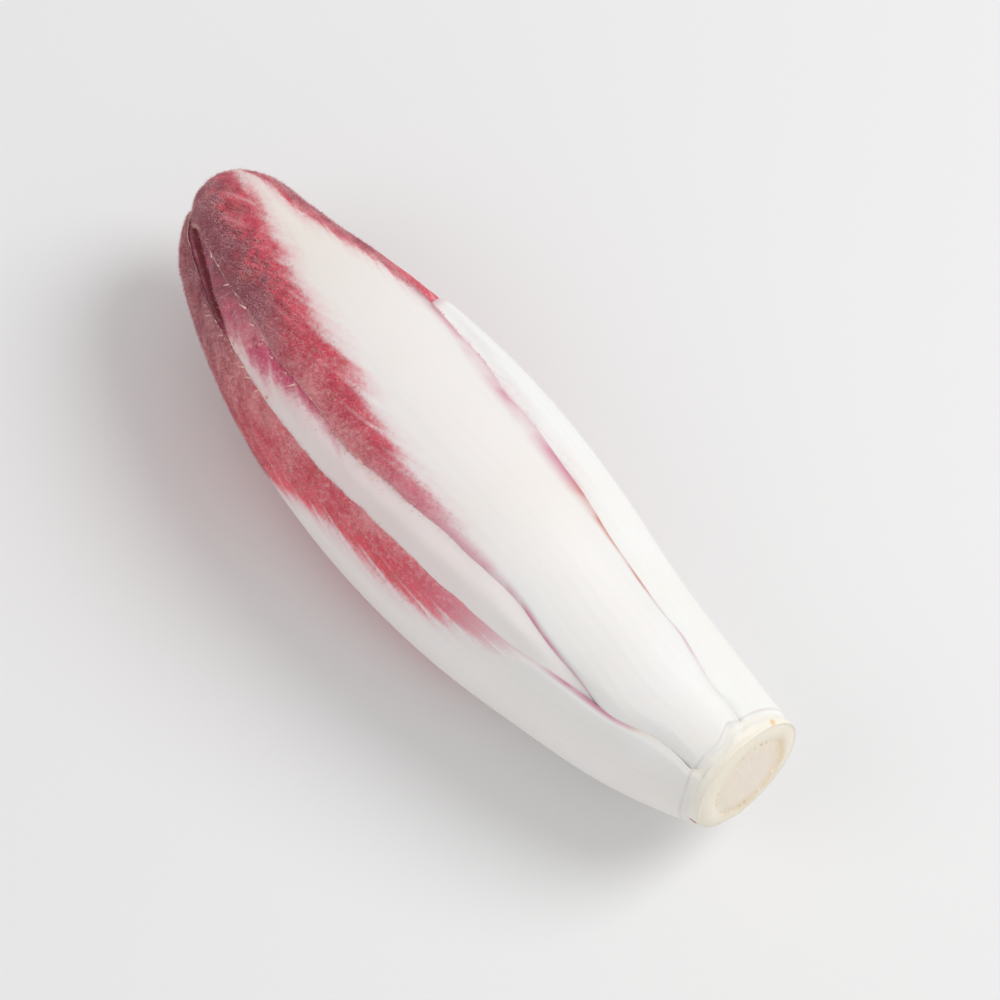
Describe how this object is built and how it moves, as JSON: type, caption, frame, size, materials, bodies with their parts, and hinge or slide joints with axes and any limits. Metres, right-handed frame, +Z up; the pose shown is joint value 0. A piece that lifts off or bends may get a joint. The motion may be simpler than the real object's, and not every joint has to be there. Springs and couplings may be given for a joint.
{
  "type": "red belgian endive",
  "caption": "Long pointed head of red and white chicory leaves wrapped closely round a short cut stem, lying on its side",
  "frame": {"origin": "centre of the bounding box in plan, at the level of the surface the head lies on", "axes": "+X runs along the head from the cut stem to the tip, +Z is up, and +Y is towards the side that the head bows to"},
  "size_m": [0.1498, 0.0468, 0.0447],
  "materials": {
    "white_leaf": "crisp waxy white midrib with a red and pink blade edge, softly shining",
    "red_leaf": "deep red leaf blade with pale veins and a dusty bloom over it, softly shining",
    "inner_leaf": "pale inner leaf, white below and pink towards its edge",
    "stem": "moist cut stem, cream with a tan ring of vessels"
  },
  "bodies": {
    "root": {"outer_leaf_front": "red_leaf", "outer_leaf_top": "white_leaf", "outer_leaf_under": "white_leaf", "outer_leaf_back": "white_leaf", "second_leaf_front": "red_leaf", "second_leaf_low": "red_leaf", "second_leaf_back": "red_leaf", "second_leaf_far": "red_leaf", "inner_leaf_1": "inner_leaf", "inner_leaf_2": "inner_leaf", "inner_leaf_3": "inner_leaf", "inner_leaf_4": "inner_leaf", "inner_leaf_5": "inner_leaf", "inner_leaf_6": "inner_leaf", "inner_leaf_7": "inner_leaf", "stem_and_heart": "stem"}
  },
  "joints": []
}
